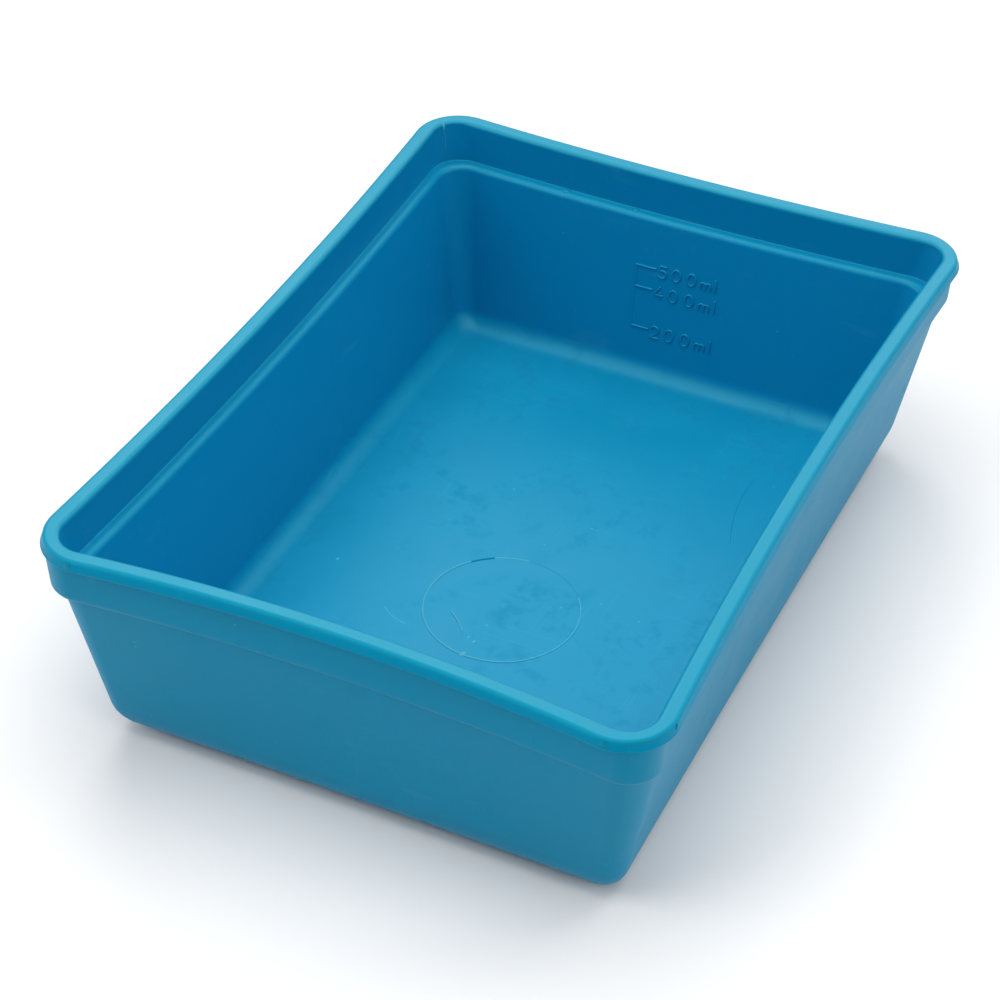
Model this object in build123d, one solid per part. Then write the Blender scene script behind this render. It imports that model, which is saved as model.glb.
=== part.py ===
from build123d import *
from math import asin, atan, cos, pi, sin
import os

# A graduated mud pan: a rectangular tray moulded in one piece of polypropylene.
# Millimetres. The origin is the middle of the underside. +Z is up, +Y is along the length.
# The raised scale is on the inside of the +Y end wall.

# The lip's outline at its foot, before its edge is rounded, and the height of the rim.
# The finished tray is 181.3 long and 132.1 wide.
length = 181.6
width = 132.4
height = 53.2

# How far the middle of each rim side stands in from the line between its corners
bow_front = 3.6
bow_right = 2.3
bow_back = 1.8
bow_left = 2.3

# Outside, from the rim down. Each inset is measured inward from the lip's outline.
lip_height = 2.35
lip_top_inset = 0.8
lip_edge_radius = 0.95
lip_foot_radius = 0.4
lip_top_corner_radius = 10.5
lip_foot_corner_radius = 11.5
collar_top_inset = 1.8
collar_foot_inset = 2.3
shoulder_drop = 12.7
shoulder_radius = 2.0
shoulder_inset = 3.8
underside_inset = 11.0
body_corner_radius = 6.6
underside_corner_radius = 5.6
bottom_edge_radius = 10.2
foot_corner_radius = 3.0

# Inside
rim_inset = 4.3
rim_inner_edge_radius = 1.05
rim_inner_corner_radius = 5.5
ledge_depth = 10.0
ledge_outer_inset = 4.65
ledge_outer_corner_radius = 7.3
ledge_inset = 7.0
ledge_edge_radius = 1.5
wall_corner_radius = 5.6
floor_thickness = 2.6
floor_inset = 12.85
floor_edge_radius = 4.8
floor_corner_radius = 2.5

# Raised scale: the levels of the 200, 400 and 500 ml ticks above the underside
tick_levels = [14.7, 25.2, 30.7]
tick_length = 4.4
scale_line = -9.6
rib_width = 0.5
rib_relief = 0.3
rib_root = 0.5

# Sections along each rounded edge
round_steps = 6


def side_turn(half_span, bow):
    """Angle by which a corner arc runs on past square to meet a bowed side."""
    return asin(2 * half_span * bow / (half_span**2 + bow**2))


def section(inset, level, corner):
    """Rounded rectangle at a level. The higher it is, the more its sides bow inward."""
    half_x = width / 2 - inset
    half_y = length / 2 - inset
    share = level / height
    bows = [share * bow for bow in (bow_front, bow_right, bow_back, bow_left)]
    spans = [half_x - corner, half_y - corner] * 2
    reaches = [half_y, half_x] * 2
    turns = [side_turn(span, bow) for span, bow in zip(spans, bows)]
    edges = []
    for side in range(4):
        # Each side is drawn as the front one and turned into its place.
        centre = Vector(spans[side], corner - reaches[side])
        start = turns[side]
        finish = pi / 2 + turns[(side + 1) % 4]
        run_end = centre + corner * Vector(-sin(start), -cos(start))
        run_start = Vector(-run_end.X, run_end.Y)
        bend_middle = (finish - start) / 2
        bend_end = centre + corner * Vector(sin(finish), -cos(finish))
        if bows[side] > 0:
            run_middle = Vector(0, bows[side] - reaches[side])
            run = Edge.make_three_point_arc(run_start, run_middle, run_end)
        else:
            run = Edge.make_line(run_start, run_end)
        bend = Edge.make_three_point_arc(
            run_end,
            centre + corner * Vector(sin(bend_middle), -cos(bend_middle)),
            bend_end,
        )
        edges += [edge.rotate(Axis.Z, 90 * side) for edge in (run, bend)]
    return Pos(0, 0, level) * Face(Wire(edges))


def drafted(lower, upper):
    """Straight stretch between two (inset, level, corner radius) sections."""
    return loft([section(*lower), section(*upper)], ruled=True)


def tub(foot, top, radius, wall_corner):
    """Drafted block with a rounded bottom edge, from its foot and top sections.

    The foot's inset is where the wall would meet the bottom with no rounding.
    """
    foot_inset, foot_level, foot_corner = foot
    draft = atan((foot_inset - top[0]) / (top[1] - foot_level))
    centre_inset = foot_inset + radius * (1 - sin(draft)) / cos(draft)
    rounding = []
    for step in range(round_steps + 1):
        share = step / round_steps
        angle = pi / 2 + (draft - pi / 2) * share
        inset = centre_inset - radius * cos(angle)
        level = foot_level + radius * (1 - sin(angle))
        corner = foot_corner + (wall_corner - foot_corner) * share
        rounding.append((inset, level, corner))
    bottom = loft([section(*entry) for entry in rounding])
    return bottom + drafted(rounding[-1], top)


def shoulder(body_top):
    """Sections round the shoulder, from the body's top edge to the foot of the collar."""
    inset, level, corner = body_top
    centre_inset = collar_foot_inset + shoulder_radius
    start = asin((centre_inset - inset) / shoulder_radius)
    centre_level = level + shoulder_radius * cos(start)
    sections = []
    for step in range(round_steps + 1):
        angle = start + (pi / 2 - start) * step / round_steps
        inset = centre_inset - shoulder_radius * sin(angle)
        level = centre_level - shoulder_radius * cos(angle)
        sections.append((inset, level, corner))
    return sections


def outside():
    """The tray as a solid block: body, shoulder, collar and lip."""
    body_top = (shoulder_inset, height - shoulder_drop, body_corner_radius)
    body = tub(
        (underside_inset, 0, foot_corner_radius),
        body_top,
        bottom_edge_radius,
        underside_corner_radius,
    )
    rounding = shoulder(body_top)
    step = loft([section(*entry) for entry in rounding])
    collar_top = (collar_top_inset, height - lip_height, body_corner_radius)
    collar = drafted(rounding[-1], collar_top)
    lip = drafted(
        (0, height - lip_height, lip_foot_corner_radius),
        (lip_top_inset, height, lip_top_corner_radius),
    )
    return body + step + collar + lip


def inside():
    """The space that the tray holds, from the floor to just above the rim."""
    ledge_level = height - ledge_depth
    well = tub(
        (floor_inset, floor_thickness, floor_corner_radius),
        (ledge_inset, ledge_level, wall_corner_radius),
        floor_edge_radius,
        wall_corner_radius,
    )
    clearance = 1
    rim = section(rim_inset, height, rim_inner_corner_radius)
    mouth = extrude(rim, clearance)
    collar = drafted(
        (ledge_outer_inset, ledge_level, ledge_outer_corner_radius),
        (rim_inset, height, rim_inner_corner_radius),
    )
    return well + collar + mouth


def level_face(solid, level):
    """The largest flat face of the solid at a level."""
    flat = solid.faces().filter_by(Plane.XY).filter_by_position(Axis.Z, level - 0.01, level + 0.01)
    return flat.sort_by(SortBy.AREA)[-1]


def ease_edges(solid):
    """Round the ledge's inner edge and every edge of the lip but its root."""
    ledge = level_face(solid, height - ledge_depth)
    solid = fillet(ledge.inner_wires().edges(), ledge_edge_radius)
    rim = level_face(solid, height)
    solid = fillet(rim.inner_wires().edges(), rim_inner_edge_radius)
    rim = level_face(solid, height)
    solid = fillet(rim.outer_wire().edges(), lip_edge_radius)
    lip_foot = level_face(solid, height - lip_height)
    return fillet(lip_foot.outer_wire().edges(), lip_foot_radius)


def end_wall(level):
    """Y of the +Y end wall's inner face at a level, at the middle of its width."""
    ledge_level = height - ledge_depth
    slope = (floor_inset - ledge_inset) / (ledge_level - floor_thickness)
    inset = ledge_inset + slope * (ledge_level - level)
    return length / 2 - inset - bow_back * level / height


def scale_ribs(space):
    """The raised scale: an upright line with a tick at each marked level."""
    half = rib_width / 2
    lowest = tick_levels[0]
    highest = tick_levels[-1]
    strokes = [(scale_line + half, lowest, highest)]
    strokes += [(scale_line + tick_length, level, level) for level in tick_levels]
    # The well moved back from the wall: a rib shows only as far as the relief.
    hidden = Pos(0, -rib_relief, 0) * space
    ribs = []
    for right, low, high in strokes:
        left = scale_line - half
        front = end_wall(low) - 2 * rib_relief
        back = end_wall(high) + rib_root
        block = Box(right - left, back - front, high - low + rib_width)
        middle = Pos((left + right) / 2, (front + back) / 2, (low + high) / 2)
        ribs.append(middle * block - hidden)
    return ribs


space = inside()
tray = ease_edges(outside() - space)
for rib in scale_ribs(space):
    tray += rib
os.makedirs("parts", exist_ok=True)
export_step(tray, "parts/tray.step")
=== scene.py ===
from math import asin, atan2, cos, hypot, pi, radians, sin, sqrt, tan

import bpy
import numpy as np
from mathutils import Matrix, Vector


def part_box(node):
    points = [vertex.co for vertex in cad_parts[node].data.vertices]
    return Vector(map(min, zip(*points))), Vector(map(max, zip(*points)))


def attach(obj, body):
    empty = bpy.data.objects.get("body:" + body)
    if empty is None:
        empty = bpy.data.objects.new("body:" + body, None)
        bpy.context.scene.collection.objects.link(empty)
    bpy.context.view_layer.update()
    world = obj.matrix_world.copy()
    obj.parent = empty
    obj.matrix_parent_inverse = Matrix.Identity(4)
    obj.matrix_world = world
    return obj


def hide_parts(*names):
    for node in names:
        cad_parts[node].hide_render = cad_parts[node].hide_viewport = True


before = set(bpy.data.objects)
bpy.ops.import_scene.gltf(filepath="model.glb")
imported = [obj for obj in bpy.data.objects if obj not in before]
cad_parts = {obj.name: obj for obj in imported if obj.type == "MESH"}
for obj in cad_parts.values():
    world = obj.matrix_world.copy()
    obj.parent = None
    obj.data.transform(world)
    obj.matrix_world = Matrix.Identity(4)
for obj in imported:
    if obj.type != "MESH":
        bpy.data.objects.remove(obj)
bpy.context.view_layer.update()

# A graduated mud pan in blue polypropylene. Metres, in the frame of the CAD model:
# origin in the middle of the underside, +Z up, +Y along the length, towards the scale.
MM = 0.001

# The lip's outline at its foot, before its edge is rounded, and the level of the rim
half_width = 66.2 * MM
half_length = 90.8 * MM
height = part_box("tray")[1].z

# How far the middle of each rim side stands in: front, right, back, left
rim_bows = [3.6 * MM, 2.3 * MM, 1.8 * MM, 2.3 * MM]

# Levels, and insets from the lip's outline
lip_foot = height - 2.35 * MM
step_level = height - 12.7 * MM
ledge_level = height - 10.0 * MM
floor_level = 2.6 * MM
rim_inset = 4.3 * MM
ledge_outer_inset = 4.65 * MM
ledge_inset = 7.0 * MM
floor_inset = 12.85 * MM

# Corner radii in plan, and the radius of the rim's inner edge
body_corner = 6.6 * MM
lip_foot_corner = 11.5 * MM
lip_side_corner = 10.9 * MM
lip_top_corner = 10.5 * MM
rim_inner_corner = 5.5 * MM
ledge_outer_corner = 7.3 * MM
rim_inner_edge = 1.05 * MM

# The tray's cross-section as (inset, level, corner radius, edge radius), from the flat
# of the underside round the lip to the flat of the floor.
profile = [
    (26.0 * MM, 0.0, 3.0 * MM, 0.0),
    (11.0 * MM, 0.0, 3.4 * MM, 10.2 * MM),
    (3.8 * MM, step_level, body_corner, 0.15 * MM),
    (2.3 * MM, step_level + 0.4 * MM, body_corner, 2.1 * MM),
    (1.8 * MM, lip_foot, body_corner, 0.3 * MM),
    (0.0, lip_foot, lip_foot_corner, 0.4 * MM),
    (0.8 * MM, height, lip_top_corner, 0.95 * MM),
    (rim_inset, height, rim_inner_corner, rim_inner_edge),
    (ledge_outer_inset, ledge_level, ledge_outer_corner, 0.25 * MM),
    (ledge_inset, ledge_level, 5.9 * MM, 1.5 * MM),
    (floor_inset, floor_level, 4.0 * MM, 4.8 * MM),
    (30.0 * MM, floor_level, 3.0 * MM, 0.0),
]

# The raised scale on the inside of the +Y end wall. Each row of figures has its tick's
# level, where the tick starts and ends beyond the upright line, and the figures' pitch.
scale_line = -9.6 * MM
scale_rows = {
    "500": (30.7 * MM, 0.0, 4.8 * MM, 0.95),
    "400": (25.2 * MM, 0.3 * MM, 4.3 * MM, 1.0),
    "200": (14.7 * MM, 0.3 * MM, 4.3 * MM, 1.0),
}
figure_height = 3.0 * MM
figure_steps = [3.6 * MM, 4.0 * MM, 3.5 * MM, 3.8 * MM, 0.0]
figure_gap = 0.8 * MM
figure_drop = 1.9 * MM
stroke_width = 0.5 * MM
stroke_relief = 0.32 * MM
upright_relief = 0.4 * stroke_relief

# The round witness line about the gate, on the floor: its middle and radius, in millimetres
ring_middle = (0.6, -13.8)
ring_radius = 16.9

# The plastic's colours in linear light. It varies between the first two.
duller_blue = (0.0, 0.217, 0.394)
fresher_blue = (0.0, 0.228, 0.408)
# Painted shade: the deeper blue that light takes bouncing between the inner walls
painted_inner_shade_blue = (0.0, 0.208, 0.43)
stain_blue = (0.0, 0.15, 0.3)
scratch_blue = (0.05, 0.33, 0.52)
# Partly wear, partly painted sheen: its touch of red stands in for the rim's reflection
worn_rim_and_sheen_blue = (0.006, 0.222, 0.355)
dust_blue = (0.25, 0.42, 0.5)
rubbed_blue = (0.08, 0.38, 0.52)

# How its reflection is tinted, inside and outside, and its refractive index there. Outside, the
# reflection is tinted and weakened as painted shade, for surroundings darker than the pale floor.
inside_tint = (0.32, 0.9, 0.75)
outside_tint = (0.0, 0.4, 0.25)
inside_refraction = 1.49
outside_refraction = 1.42

# The point that the lamps look at
lamp_target = (0, 0, 0.02)


def side_turn(half_span, bow):
    """Angle by which a corner arc runs on past square to meet a bowed side."""
    return asin(2 * half_span * bow / (half_span**2 + bow**2))


def outline(inset, level, corner, run_points=56, bend_points=22):
    """Points round the tray at a level, anticlockwise from the front left corner."""
    reach_x, reach_y = half_width - inset, half_length - inset
    # Even a straight side is drawn as a very flat arc.
    flattest = 1e-6
    bows = [max(bow * level / height, flattest) for bow in rim_bows]
    spans = [reach_x - corner, reach_y - corner] * 2
    reaches = [reach_y, reach_x] * 2
    turns = [side_turn(span, bow) for span, bow in zip(spans, bows)]
    rows = []
    for side in range(4):
        span, reach, bow, turn = spans[side], reaches[side], bows[side], turns[side]
        radius = (span**2 + bow**2) / (2 * bow) - corner
        sweep = turn * np.linspace(-1, 1, run_points, endpoint=False)
        run = np.c_[radius * np.sin(sweep), bow - reach - radius * (1 - np.cos(sweep))]
        finish = pi / 2 + turns[(side + 1) % 4]
        sweep = np.linspace(-turn, finish, bend_points, endpoint=False)
        bend = np.c_[span + corner * np.sin(sweep), corner - reach - corner * np.cos(sweep)]
        quarter = side * pi / 2
        spin = np.array([[cos(quarter), sin(quarter)], [-sin(quarter), cos(quarter)]])
        rows.append(np.vstack([run, bend]) @ spin)
    flat = np.vstack(rows)
    return np.c_[flat, np.full(len(flat), level)]


def rounded_section(corners, longest_step=3.0 * MM):
    """The section's stations as (inset, level, corner radius), each edge rounded by an arc."""
    stations = []

    def add(place, corner):
        if not stations or hypot(place[0] - stations[-1][0], place[1] - stations[-1][1]) > 1e-7:
            stations.append((place[0], place[1], corner))

    def run_to(place, corner):
        if stations:
            last = stations[-1]
            distance = hypot(place[0] - last[0], place[1] - last[1])
            for step in range(1, int(distance / longest_step) + 1):
                share = step / (int(distance / longest_step) + 1)
                mix = [a + (b - a) * share for a, b in zip(last, (*place, corner))]
                add(mix[:2], mix[2])
        add(place, corner)

    for index, (inset, level, corner, radius) in enumerate(corners):
        here = np.array([inset, level])
        if radius == 0:
            run_to(here, corner)
            continue
        before, after = corners[index - 1], corners[index + 1]
        to_before = np.array(before[:2]) - here
        to_after = np.array(after[:2]) - here
        length_before, length_after = np.linalg.norm(to_before), np.linalg.norm(to_after)
        to_before /= length_before
        to_after /= length_after
        opening = np.arccos(np.clip(to_before @ to_after, -1, 1))
        longest = 0.97 * min(length_before, length_after)
        setback = min(radius / tan(opening / 2), longest)
        radius = setback * tan(opening / 2)
        centre = here + (to_before + to_after) / np.linalg.norm(to_before + to_after) * (
            radius / sin(opening / 2)
        )
        start, finish = here + to_before * setback, here + to_after * setback
        corner_start = corner + (before[2] - corner) * setback / length_before
        corner_finish = corner + (after[2] - corner) * setback / length_after
        run_to(start, corner_start)
        first = atan2(*(start - centre)[::-1])
        turned = (atan2(*(finish - centre)[::-1]) - first + pi) % (2 * pi) - pi
        steps = max(4, int(abs(turned) / radians(8)))
        for step in range(1, steps + 1):
            share = step / steps
            angle = first + turned * share
            place = centre + radius * np.array([cos(angle), sin(angle)])
            add(place, corner_start + (corner_finish - corner_start) * share)
    return stations


def new_piece(name, points, faces, *materials, first_faces=0):
    """A mesh piece that rides on the tray's body and takes the materials it is given.

    Its first faces take the second material.
    """
    mesh = bpy.data.meshes.new(name)
    mesh.from_pydata([tuple(point) for point in points], [], faces)
    mesh.validate()
    piece = bpy.data.objects.new(name, mesh)
    bpy.context.scene.collection.objects.link(piece)
    for material in materials:
        mesh.materials.append(material)
    for face in list(mesh.polygons)[:first_faces]:
        face.material_index = 1
    mesh.shade_smooth()
    mesh.set_sharp_from_angle(angle=radians(40))
    piece.modifiers.new("weighted_normals", "WEIGHTED_NORMAL").keep_sharp = True
    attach(piece, "root")
    return piece


def tray_mesh():
    """The whole tray's vertices and faces, and how many of those faces are its outside.

    They are rings joined by quads and closed by two caps.
    """
    stations = rounded_section(profile)
    rings = [outline(*station) for station in stations]
    count = len(rings[0])
    points = np.vstack(rings)
    faces = [tuple(reversed(range(count)))]
    for ring in range(len(rings) - 1):
        for k in range(count):
            a, b = ring * count + k, ring * count + (k + 1) % count
            faces.append((a, b, b + count, a + count))
    last = (len(rings) - 1) * count
    faces.append(tuple(range(last, last + count)))
    top = next(index for index, (_, level, _) in enumerate(stations) if level > height - 0.01 * MM)
    return points, faces, 1 + top * count


def on_end_wall(x, level):
    """Point and outward normal of the +Y end wall's inner face."""
    share = (ledge_level - level) / (ledge_level - floor_level)
    reach = half_length - ledge_inset - (floor_inset - ledge_inset) * share
    bow = rim_bows[2] * level / height
    span = half_width - ledge_inset
    radius = (span**2 + bow**2) / (2 * bow)
    y = reach - bow + radius - sqrt(radius**2 - x**2)
    lean = (floor_inset - ledge_inset) / (ledge_level - floor_level)
    normal = Vector((x / radius, -1, lean)).normalized()
    return Vector((x, y, level)), normal


def on_floor(x, y):
    """Point and normal of the floor's upper face."""
    return Vector((x, y, floor_level)), Vector((0, 0, 1))


def bead(path, surface, width, relief, closed=False):
    """Vertices and faces of a half-round bead along a path on a surface, with rounded ends."""
    rows = []
    count = len(path)
    # Round the bead's section, a little below the surface at either side
    around = np.radians([200, 170, 145, 120, 90, 60, 35, 10, -20])
    for k, (u, v) in enumerate(path):
        place, normal = surface(u, v)
        ahead = path[(k + 1) % count] if closed or k + 1 < count else path[k]
        behind = path[k - 1] if closed or k > 0 else path[k]
        along = (surface(*ahead)[0] - surface(*behind)[0]).normalized()
        across = along.cross(normal).normalized()
        ends = [(0.0, 1.0)]
        if not closed and k == 0:
            ends = [(-sin(angle), cos(angle)) for angle in np.radians([84, 60, 30, 0])]
        if not closed and k == count - 1:
            ends = [(sin(angle), cos(angle)) for angle in np.radians([0, 30, 60, 84])]
        for push, size in ends:
            middle = place + along * push * width / 2
            rows.append(
                [
                    middle + across * cos(a) * size * width / 2 + normal * sin(a) * size * relief
                    for a in around
                ]
            )
    points = [point for row in rows for point in row]
    row_size = len(around)
    faces = []
    for row in range(len(rows) if closed else len(rows) - 1):
        for k in range(row_size):
            a, b = row * row_size + k, row * row_size + (k + 1) % row_size
            c, d = [(value + row_size) % len(points) for value in (b, a)]
            faces.append((a, b, c, d))
    if not closed:
        faces.append(tuple(range(row_size)))
        faces.append(tuple(reversed(range(len(points) - row_size, len(points)))))
    return points, faces


def joined(parts):
    """One list of vertices and one of faces from several."""
    points, faces = [], []
    for part_points, part_faces in parts:
        start = len(points)
        points += list(part_points)
        faces += [tuple(start + k for k in face) for face in part_faces]
    return points, faces


def arc(centre_x, centre_y, radius_x, radius_y, first, last, steps):
    """Points along an elliptical arc, its angles in degrees anticlockwise from +X."""
    angles = np.radians(np.linspace(first, last, steps))
    return [(centre_x + radius_x * cos(a), centre_y + radius_y * sin(a)) for a in angles]


def straight(start, finish, steps=4):
    """Points along a straight line."""
    run, rise = finish[0] - start[0], finish[1] - start[1]
    return [(start[0] + run * k / steps, start[1] + rise * k / steps) for k in range(steps + 1)]


def characters():
    """Each character's strokes, as (path, closed), in a cell one unit high."""
    zero = [(arc(0.33, 0.5, 0.33, 0.5, 0, 345, 24), True)]
    two_bend = arc(0.33, 0.68, 0.31, 0.32, 165, -38, 14)
    two = [(two_bend + [(0.0, 0.0)], False), ([(0.0, 0.0), (0.33, 0.0), (0.66, 0.0)], False)]
    four = [([(0.42, 1.0), (0.2, 0.64), (0.0, 0.3), (0.35, 0.3), (0.68, 0.3)], False)]
    four.append(([(0.46, 0.5), (0.46, 0.25), (0.46, 0.0)], False))
    five_bend = arc(0.3, 0.32, 0.35, 0.32, 125, -140, 18)
    five = [([(0.62, 1.0), (0.35, 1.0), (0.12, 1.0), (0.07, 0.56)] + five_bend, False)]
    arch = arc(0.2, 0.36, 0.2, 0.18, 180, 0, 9)
    arch_two = arc(0.6, 0.36, 0.2, 0.18, 180, 0, 9)
    em = [([(0.0, 0.0), (0.0, 0.3)] + arch + [(0.4, 0.0)], False)]
    em.append(([(0.4, 0.3)] + arch_two + [(0.8, 0.0)], False))
    ell = [([(0.0, 0.0), (0.0, 0.5), (0.0, 1.0)], False)]
    return {"0": zero, "2": two, "4": four, "5": five, "m": em, "l": ell}


def scale():
    """The upright line, its three ticks and their figures."""
    parts = []

    def raise_stroke(path, closed=False):
        parts.append(bead(path, on_end_wall, stroke_width, stroke_relief, closed))

    levels = sorted(row[0] for row in scale_rows.values())
    upright = straight((scale_line, levels[0]), (scale_line, levels[-1]), 12)
    parts.append(bead(upright, on_end_wall, stroke_width, upright_relief))
    shapes = characters()
    for figures, (level, tick_start, tick_end, pitch) in scale_rows.items():
        raise_stroke(straight((scale_line + tick_start, level), (scale_line + tick_end, level)))
        left = scale_line + tick_end + figure_gap
        foot = level - figure_drop
        for character, step in zip(figures + "ml", figure_steps):
            for path, closed in shapes[character]:
                sized = [(left + u * figure_height, foot + v * figure_height) for u, v in path]
                raise_stroke(sized, closed)
            left += step * pitch
    return joined(parts)


def on_ring(x, y, inset, level, corner):
    """Point nearest to (x, y) on the outline at a level, and the normal pointing away from it."""
    ring = outline(inset, level, corner)
    nearest = int(np.argmin(np.hypot(ring[:, 0] - x, ring[:, 1] - y)))
    along = ring[(nearest + 1) % len(ring)] - ring[nearest - 1]
    return Vector(ring[nearest]), Vector((along[1], -along[0], 0)).normalized()


def blister(spot, reach, relief):
    """A low, slightly oval bump on a surface, sunk a little into it."""
    place, normal = spot
    across = normal.orthogonal().normalized()
    along = normal.cross(across)
    around, rings = 14, 5
    oval, sunk = 0.2, 0.15
    points = [place + normal * relief]
    for ring in range(1, rings + 1):
        lean = pi / 2 * ring / rings
        for k in range(around):
            angle = 2 * pi * k / around
            wide = reach * sin(lean) * (1 + oval * sin(2 * angle + 1))
            out = across * wide * cos(angle) + along * wide * sin(angle)
            points.append(place + out + normal * relief * (cos(lean) - sunk))
    faces = [(0, 1 + k, 1 + (k + 1) % around) for k in range(around)]
    for ring in range(rings - 1):
        for k in range(around):
            a, b = 1 + ring * around + k, 1 + ring * around + (k + 1) % around
            faces.append((a, a + around, b + around, b))
    faces.append(tuple(reversed(range(1 + (rings - 1) * around, 1 + rings * around))))
    return points, faces


def floor_line(path, width, relief):
    """A thin ridge on the floor along a path in millimetres."""
    return bead([(x * MM, y * MM) for x, y in path], on_floor, width * MM, relief * MM)


def ring_part(first, last, steps, width, relief):
    """Part of the round witness line, between two angles in degrees."""
    path = arc(*ring_middle, ring_radius, ring_radius, first, last, steps)
    return floor_line(path, width, relief)


def gate_ring():
    """The round witness line where it shows pale, plainest at the left and below."""
    return joined(
        [
            ring_part(138, 300, 70, 0.46, 0.2),
            ring_part(299, 398, 44, 0.38, 0.15),
            ring_part(92, 121, 14, 0.24, 0.05),
        ]
    )


def mould_marks():
    """Marks that the mould left in the same blue: ridges on the floor and bumps on the ledge."""
    up = Vector((0, 0, 1))
    return joined(
        [
            ring_part(121, 138, 10, 0.5, 0.3),
            ring_part(36, 94, 26, 0.3, 0.05),
            floor_line(arc(87.7, 47.7, 55.0, 55.0, 176, 201, 30), 0.4, 0.08),
            blister((Vector((-29.3 * MM, 84.5 * MM, ledge_level)), up), 0.9 * MM, 0.35 * MM),
            blister((Vector((-11.6 * MM, 84.3 * MM, ledge_level)), up), 0.7 * MM, 0.3 * MM),
        ]
    )


def lip_marks():
    """Small bumps on the lip's side, at the front corners."""
    inset = 0.4 * MM
    level = height - 1.3 * MM
    bumps = []
    for x, y, reach in [(-55.1, -90.0, 0.8), (54.9, -90.2, 0.9), (65.6, -80.4, 0.7)]:
        spot = on_ring(x * MM, y * MM, inset, level, lip_side_corner)
        bumps.append(blister(spot, reach * MM, 0.2 * MM))
    return joined(bumps)


def on_collar(depth, x):
    """Point and normal on the collar's inner face, near its back left corner."""
    share = depth / (height - ledge_level)
    bend = rim_inner_corner + (ledge_outer_corner - rim_inner_corner) * share
    lean = asin(max(0.0, 1 - depth / rim_inner_edge))
    wall_inset = rim_inset + (ledge_outer_inset - rim_inset) * share
    inset = wall_inset - rim_inner_edge * (1 - cos(lean))
    corner_y = 82.7 * MM
    place, away = on_ring(x, corner_y, inset, height - depth, bend)
    return place, Vector((-away.x * cos(lean), -away.y * cos(lean), sin(lean)))


def wear_marks():
    """Pale marks from use: scratches and specks on the floor, a nick and a scratch in a corner."""
    corner_x = -59.1 * MM
    nick = [(depth * MM, corner_x) for depth in (0.35, 0.7, 1.1, 1.5)]
    scratch = [(depth * MM, corner_x) for depth in (1.9, 3.5, 5.0, 6.5)]
    parts = [
        floor_line(arc(-14.9, -16.6, 10.5, 10.5, 226, 265, 10), 0.18, 0.03),
        floor_line(arc(-18.7, -34.6, 18.2, 18.2, 35.5, 56.7, 10), 0.42, 0.2),
        bead(nick, on_collar, 0.6 * MM, 0.3 * MM),
        bead(scratch, on_collar, 0.12 * MM, 0.015 * MM),
    ]
    floor_specks = [(-0.7, -30.3, 0.8), (-1.9, -25.1, 0.4), (-0.2, -25.9, 0.5), (-38.6, -14.5, 0.4)]
    for x, y, reach in floor_specks:
        parts.append(blister(on_floor(x * MM, y * MM), reach * MM, 0.35 * reach * MM))
    return joined(parts)


def node(tree, kind, **values):
    """A new node with its properties and its unlinked inputs set by name."""
    made = tree.nodes.new(kind)
    for name, value in values.items():
        if hasattr(made, name):
            setattr(made, name, value)
        else:
            made.inputs[name.replace("_", " ").title()].default_value = value
    return made


def noise(tree, place, scale, detail, roughness=0.5, stretch=None, turn=(0, 0, 0)):
    """A noise pattern's value over the object, in features per metre, stretched if asked."""
    if stretch:
        mapping = node(tree, "ShaderNodeMapping", Rotation=turn, Scale=stretch)
        tree.links.new(place, mapping.inputs["Vector"])
        place = mapping.outputs["Vector"]
    made = node(tree, "ShaderNodeTexNoise", Scale=scale, Detail=detail, Roughness=roughness)
    tree.links.new(place, made.inputs["Vector"])
    return made.outputs["Fac"]


def spread(tree, value, low, high, to_low, to_high):
    """The value's range from low to high, spread smoothly over another range."""
    made = node(tree, "ShaderNodeMapRange", interpolation_type="SMOOTHSTEP")
    made.inputs["From Min"].default_value = low
    made.inputs["From Max"].default_value = high
    made.inputs["To Min"].default_value = to_low
    made.inputs["To Max"].default_value = to_high
    tree.links.new(value, made.inputs["Value"])
    return made.outputs["Result"]


def combine(tree, operation, first, second):
    """Two values joined by arithmetic; the second may be a plain number."""
    made = node(tree, "ShaderNodeMath", operation=operation)
    tree.links.new(first, made.inputs[0])
    if isinstance(second, (int, float)):
        made.inputs[1].default_value = second
    else:
        tree.links.new(second, made.inputs[1])
    return made.outputs["Value"]


def tinted(tree, share, below, colour):
    """A colour laid over another by a share, which may be a plain number."""
    made = node(tree, "ShaderNodeMix", data_type="RGBA")
    if isinstance(share, (int, float)):
        made.inputs["Factor"].default_value = share
    else:
        tree.links.new(share, made.inputs["Factor"])
    if isinstance(below, tuple):
        made.inputs[6].default_value = (*below, 1)
    else:
        tree.links.new(below, made.inputs[6])
    made.inputs[7].default_value = (*colour, 1)
    return made.outputs[2]


def bumped(tree, height_value, distance, strength, below=None):
    """A bump of a given depth in metres, on top of another."""
    made = node(tree, "ShaderNodeBump", Distance=distance, Strength=strength)
    tree.links.new(height_value, made.inputs["Height"])
    if below:
        tree.links.new(below, made.inputs["Normal"])
    return made.outputs["Normal"]


def axis(tree, vector, name):
    """One component of a vector."""
    made = node(tree, "ShaderNodeSeparateXYZ")
    tree.links.new(vector, made.inputs["Vector"])
    return made.outputs[name]


def stained(tree, level, cloud, blotch):
    """Stains, most on the floor and the lowest part of the walls, where the tray is used most."""
    used = spread(tree, level, floor_level + 6 * MM, floor_level + 1 * MM, 0.25, 1.0)
    patches = spread(tree, blotch, 0.5, 0.66, 0.0, 1.0)
    stain = combine(tree, "MULTIPLY", patches, spread(tree, cloud, 0.4, 0.6, 0.1, 1.0))
    return combine(tree, "MULTIPLY", stain, used)


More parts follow.
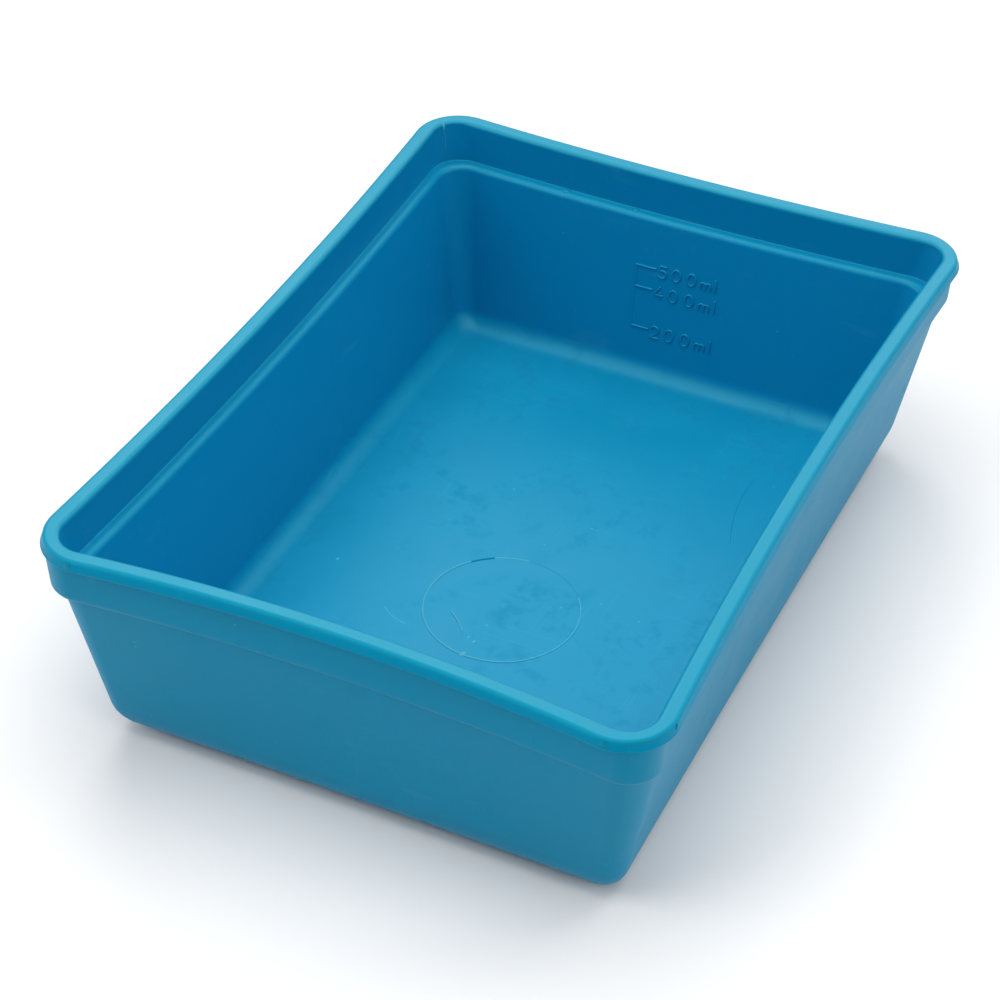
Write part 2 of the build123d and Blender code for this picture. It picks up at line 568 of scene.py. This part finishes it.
def scratched(tree, place, cloud):
    """Fine scratches in two directions, in patches."""
    along = noise(tree, place, 1, 2, 0.5, stretch=(60, 1500, 300), turn=(0, 0, 0.5))
    across = noise(tree, place, 1, 2, 0.5, stretch=(1700, 75, 300), turn=(0, 0, -0.35))
    both = combine(
        tree,
        "MAXIMUM",
        spread(tree, along, 0.62, 0.7, 0.0, 1.0),
        spread(tree, across, 0.63, 0.71, 0.0, 1.0),
    )
    return combine(tree, "MULTIPLY", both, spread(tree, cloud, 0.45, 0.6, 0.1, 1.0))


def rubbed_rim_and_sheen(tree, level, blotch):
    """Wear along the top of the rim, whose colour there also carries a painted sheen."""
    top = spread(tree, level, height - 1.2 * MM, height - 0.1 * MM, 0.0, 1.0)
    return combine(tree, "MULTIPLY", top, spread(tree, blotch, 0.4, 0.65, 0.75, 1.0))


def inner_walls(tree, place):
    """1 on steep faces that look towards the tray's middle, 0 elsewhere."""
    # On such a face the normal runs against the direction from the tray's middle.
    facing = node(tree, "ShaderNodeTexCoord").outputs["Normal"]
    flat_place = node(tree, "ShaderNodeVectorMath", operation="MULTIPLY")
    flat_place.inputs[1].default_value = (1, 1, 0)
    tree.links.new(place, flat_place.inputs[0])
    outward = node(tree, "ShaderNodeVectorMath", operation="DOT_PRODUCT")
    tree.links.new(flat_place.outputs["Vector"], outward.inputs[0])
    tree.links.new(facing, outward.inputs[1])
    inward = spread(tree, outward.outputs["Value"], -0.002, -0.012, 0.0, 1.0)
    steep = spread(tree, axis(tree, facing, "Z"), 0.6, 0.3, 0.0, 1.0)
    return combine(tree, "MULTIPLY", inward, steep)


def dusty(tree, place):
    """Sparse specks of dust."""
    dots = node(tree, "ShaderNodeTexVoronoi", Scale=420)
    tree.links.new(place, dots.inputs["Vector"])
    chance = node(tree, "ShaderNodeSeparateColor")
    tree.links.new(dots.outputs["Color"], chance.inputs["Color"])
    specks = spread(tree, dots.outputs["Distance"], 0.14, 0.05, 0.0, 1.0)
    sparse = spread(tree, chance.outputs["Red"], 0.97, 0.98, 0.0, 1.0)
    return combine(tree, "MULTIPLY", specks, sparse)


def plastic(name, refraction, reflection, dullness, rubbed=0.0):
    """Moulded polypropylene: fine grain, uneven sheen, scuffs, stains and dust.

    Dullness adds to its roughness. Rubbed is how far it has been rubbed pale.
    """
    material = bpy.data.materials.new(name)
    material.use_nodes = True
    tree = material.node_tree
    place = node(tree, "ShaderNodeTexCoord").outputs["Object"]
    level = axis(tree, place, "Z")
    cloud = noise(tree, place, 42, 4, 0.6)
    blotch = noise(tree, place, 210, 5, 0.62)
    stain = stained(tree, level, cloud, blotch)
    scratch = scratched(tree, place, cloud)
    rim_wear_and_sheen = rubbed_rim_and_sheen(tree, level, blotch)

    # The inner walls are painted a deeper blue: painted shade, for the colour light takes bouncing
    # between the blue walls.
    uneven = spread(tree, cloud, 0.35, 0.65, 0.0, 1.0)
    colour = tinted(tree, uneven, duller_blue, fresher_blue)
    colour = tinted(tree, inner_walls(tree, place), colour, painted_inner_shade_blue)
    colour = tinted(tree, combine(tree, "MULTIPLY", stain, 0.3), colour, stain_blue)
    colour = tinted(tree, combine(tree, "MULTIPLY", scratch, 0.12), colour, scratch_blue)
    # Along the rim's top: wear, and a painted sheen whose red stands in for the rim's reflection
    colour = tinted(tree, rim_wear_and_sheen, colour, worn_rim_and_sheen_blue)
    dust = combine(tree, "MULTIPLY", dusty(tree, place), 0.25)
    colour = tinted(tree, dust, colour, dust_blue)
    colour = tinted(tree, rubbed, colour, rubbed_blue)

    sheen = spread(tree, cloud, 0.3, 0.7, 0.4, 0.47)
    sheen = combine(tree, "ADD", sheen, combine(tree, "MULTIPLY", stain, 0.12))
    sheen = combine(tree, "SUBTRACT", sheen, combine(tree, "MULTIPLY", rim_wear_and_sheen, 0.06))
    sheen = combine(tree, "ADD", sheen, dullness)

    normal = bumped(tree, noise(tree, place, 38, 1.5), 0.4 * MM, 0.12)
    normal = bumped(tree, noise(tree, place, 1900, 2), 0.03 * MM, 0.22, normal)
    normal = bumped(tree, scratch, -0.02 * MM, 0.5, normal)

    shader = tree.nodes["Principled BSDF"]
    shader.inputs["IOR"].default_value = refraction
    shader.inputs["Specular Tint"].default_value = (*reflection, 1)
    tree.links.new(colour, shader.inputs["Base Color"])
    tree.links.new(sheen, shader.inputs["Roughness"])
    tree.links.new(normal, shader.inputs["Normal"])
    return material


def backdrop():
    """The plain pale floor that the tray stands on."""
    material = bpy.data.materials.new("pale_floor")
    material.use_nodes = True
    shader = material.node_tree.nodes["Principled BSDF"]
    shader.inputs["Base Color"].default_value = (0.79, 0.79, 0.79, 1)
    shader.inputs["Roughness"].default_value = 0.9
    reach = 3.0
    mesh = bpy.data.meshes.new("floor")
    mesh.from_pydata(
        [(-reach, -reach, 0), (reach, -reach, 0), (reach, reach, 0), (-reach, reach, 0)],
        [],
        [(0, 1, 2, 3)],
    )
    floor = bpy.data.objects.new("floor", mesh)
    bpy.context.scene.collection.objects.link(floor)
    mesh.materials.append(material)


def soft_box(name, place, size, power):
    """A square area light, in watts, that looks at the tray."""
    light = bpy.data.lights.new(name, "AREA")
    light.shape = "SQUARE"
    light.size = size
    light.energy = power
    lamp = bpy.data.objects.new(name, light)
    bpy.context.scene.collection.objects.link(lamp)
    lamp.location = place
    lamp.rotation_mode = "QUATERNION"
    aim = Vector(lamp_target) - Vector(place)
    lamp.rotation_quaternion = aim.to_track_quat("-Z", "Y")


def dim_surroundings(strength):
    """A faint even light from all round."""
    world = bpy.data.worlds.new("world")
    bpy.context.scene.world = world
    world.use_nodes = True
    background = world.node_tree.nodes["Background"]
    background.inputs["Color"].default_value = (1, 1, 1, 1)
    background.inputs["Strength"].default_value = strength


def camera():
    """A long lens, from the front right and about 39 degrees up, rolled by about one."""
    azimuth, elevation, roll = radians(24.60), radians(38.92), radians(0.91)
    distance = 589.1 * MM
    target = Vector((-5.18, -3.0, 22.6)) * MM
    back = Vector((sin(azimuth) * cos(elevation), -cos(azimuth) * cos(elevation), sin(elevation)))
    right = Vector((cos(azimuth), sin(azimuth), 0))
    up = back.cross(right)
    axes = Matrix((right, up, back)).transposed()
    tilt = Matrix.Rotation(roll, 3, "Z")
    lens = bpy.data.cameras.new("camera")
    lens.sensor_width = 36
    lens.lens = 99.8
    lens.clip_start = 0.01
    made = bpy.data.objects.new("camera", lens)
    bpy.context.scene.collection.objects.link(made)
    made.matrix_world = Matrix.Translation(target + back * distance) @ (axes @ tilt).to_4x4()
    bpy.context.scene.camera = made


camera()
backdrop()
blue = plastic("blue_polypropylene", inside_refraction, inside_tint, 0.0)
# The outside's copy has its reflection tinted and weakened: painted shade, for darker surroundings
outside_shaded = plastic("outside_shaded_polypropylene", outside_refraction, outside_tint, 0.04)
pale = plastic("rubbed_polypropylene", inside_refraction, inside_tint, 0.0, rubbed=0.6)
points, faces, outside = tray_mesh()
shell = new_piece("tray_shell", points, faces, blue, outside_shaded, first_faces=outside)
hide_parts("tray")
new_piece("graduations", *scale(), blue)
new_piece("gate_ring", *gate_ring(), pale)
new_piece("mould_marks", *mould_marks(), blue)
new_piece("lip_marks", *lip_marks(), outside_shaded)
new_piece("wear_marks", *wear_marks(), pale)

soft_box("overhead", (0, 0, 0.9), 0.9, 8.4)
soft_box("left", (-1.25, -0.4, 0.6), 0.8, 4.8)
soft_box("right", (1.3, 0, 0.6), 0.8, 5.5)
soft_box("back", (0, 1.3, 0.6), 0.8, 4.6)
soft_box("front_left", (-0.6, -0.8, 0.9), 0.6, 4.6)
soft_box("front_right", (0.7, -0.7, 0.9), 0.6, 1.7)
soft_box("back_left", (-0.6, 0.8, 0.9), 0.6, 3.6)
soft_box("back_right", (0.7, 0.7, 0.9), 0.6, 2.4)
dim_surroundings(0.02)
bpy.context.scene.view_settings.view_transform = "Standard"
